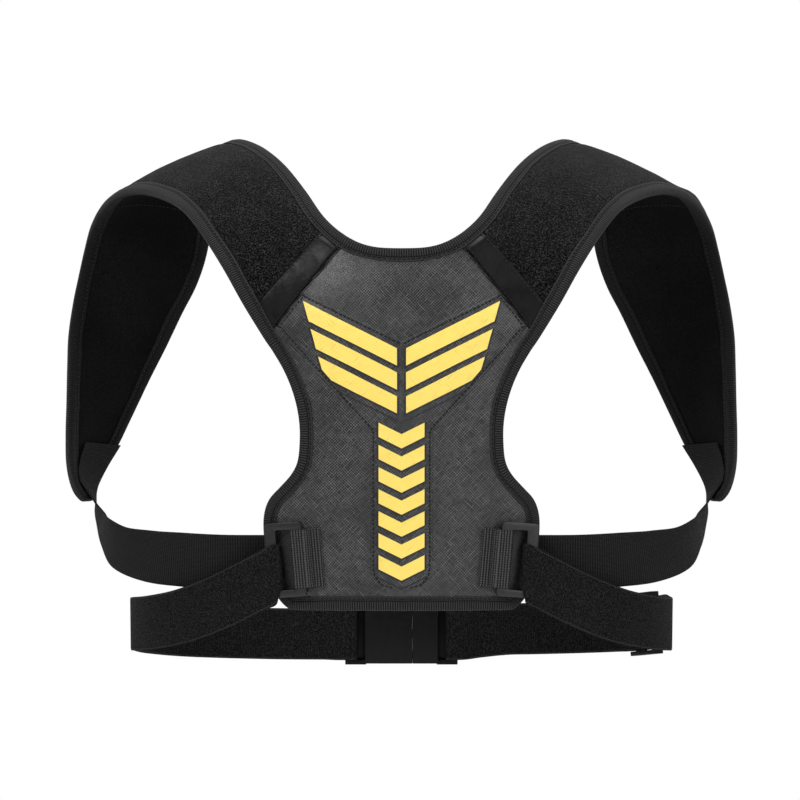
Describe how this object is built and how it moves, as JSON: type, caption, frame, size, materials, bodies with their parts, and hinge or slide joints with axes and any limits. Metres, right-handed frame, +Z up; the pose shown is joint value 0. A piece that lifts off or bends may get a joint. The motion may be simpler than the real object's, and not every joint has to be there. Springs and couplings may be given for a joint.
{
  "type": "posture corrector",
  "caption": "Padded upper-back support with shoulder straps, webbing under the arms and a waist belt with a side-release buckle, in its worn shape.",
  "frame": {"origin": "midway between the two straps, at the height where they rest on the shoulders", "axes": "+Z up, +Y the way the wearer faces, +X the wearer's right"},
  "size_m": [0.5148, 0.2379, 0.4048],
  "materials": {
    "leatherette": "embossed cross-hatch, satin",
    "pocket_leatherette": "embossed, printed with plain yellow chevrons",
    "gloss_leatherette": "smooth, glossy",
    "binding_tape": "ribbed knit",
    "velour": "brushed loop velour",
    "webbing": "fine twill",
    "tab_tape": "ribbed tape",
    "elastic": "brushed elastic",
    "plastic": "moulded, semi-gloss"
  },
  "bodies": {
    "root": {"back_panel": "leatherette", "stay_pocket": "pocket_leatherette", "edge_binding": "binding_tape", "shoulder_strap_right": "velour", "shoulder_strap_left": "velour", "seam_band_right": "gloss_leatherette", "seam_band_left": "gloss_leatherette", "webbing_right": "webbing", "webbing_left": "webbing", "ring_right": "plastic", "ring_left": "plastic", "ring_tab_right": "tab_tape", "ring_tab_left": "tab_tape", "belt_left": "elastic", "belt_right": "elastic", "buckle_socket": "plastic", "buckle_plug": "plastic", "tri_glide": "plastic"}
  },
  "joints": []
}
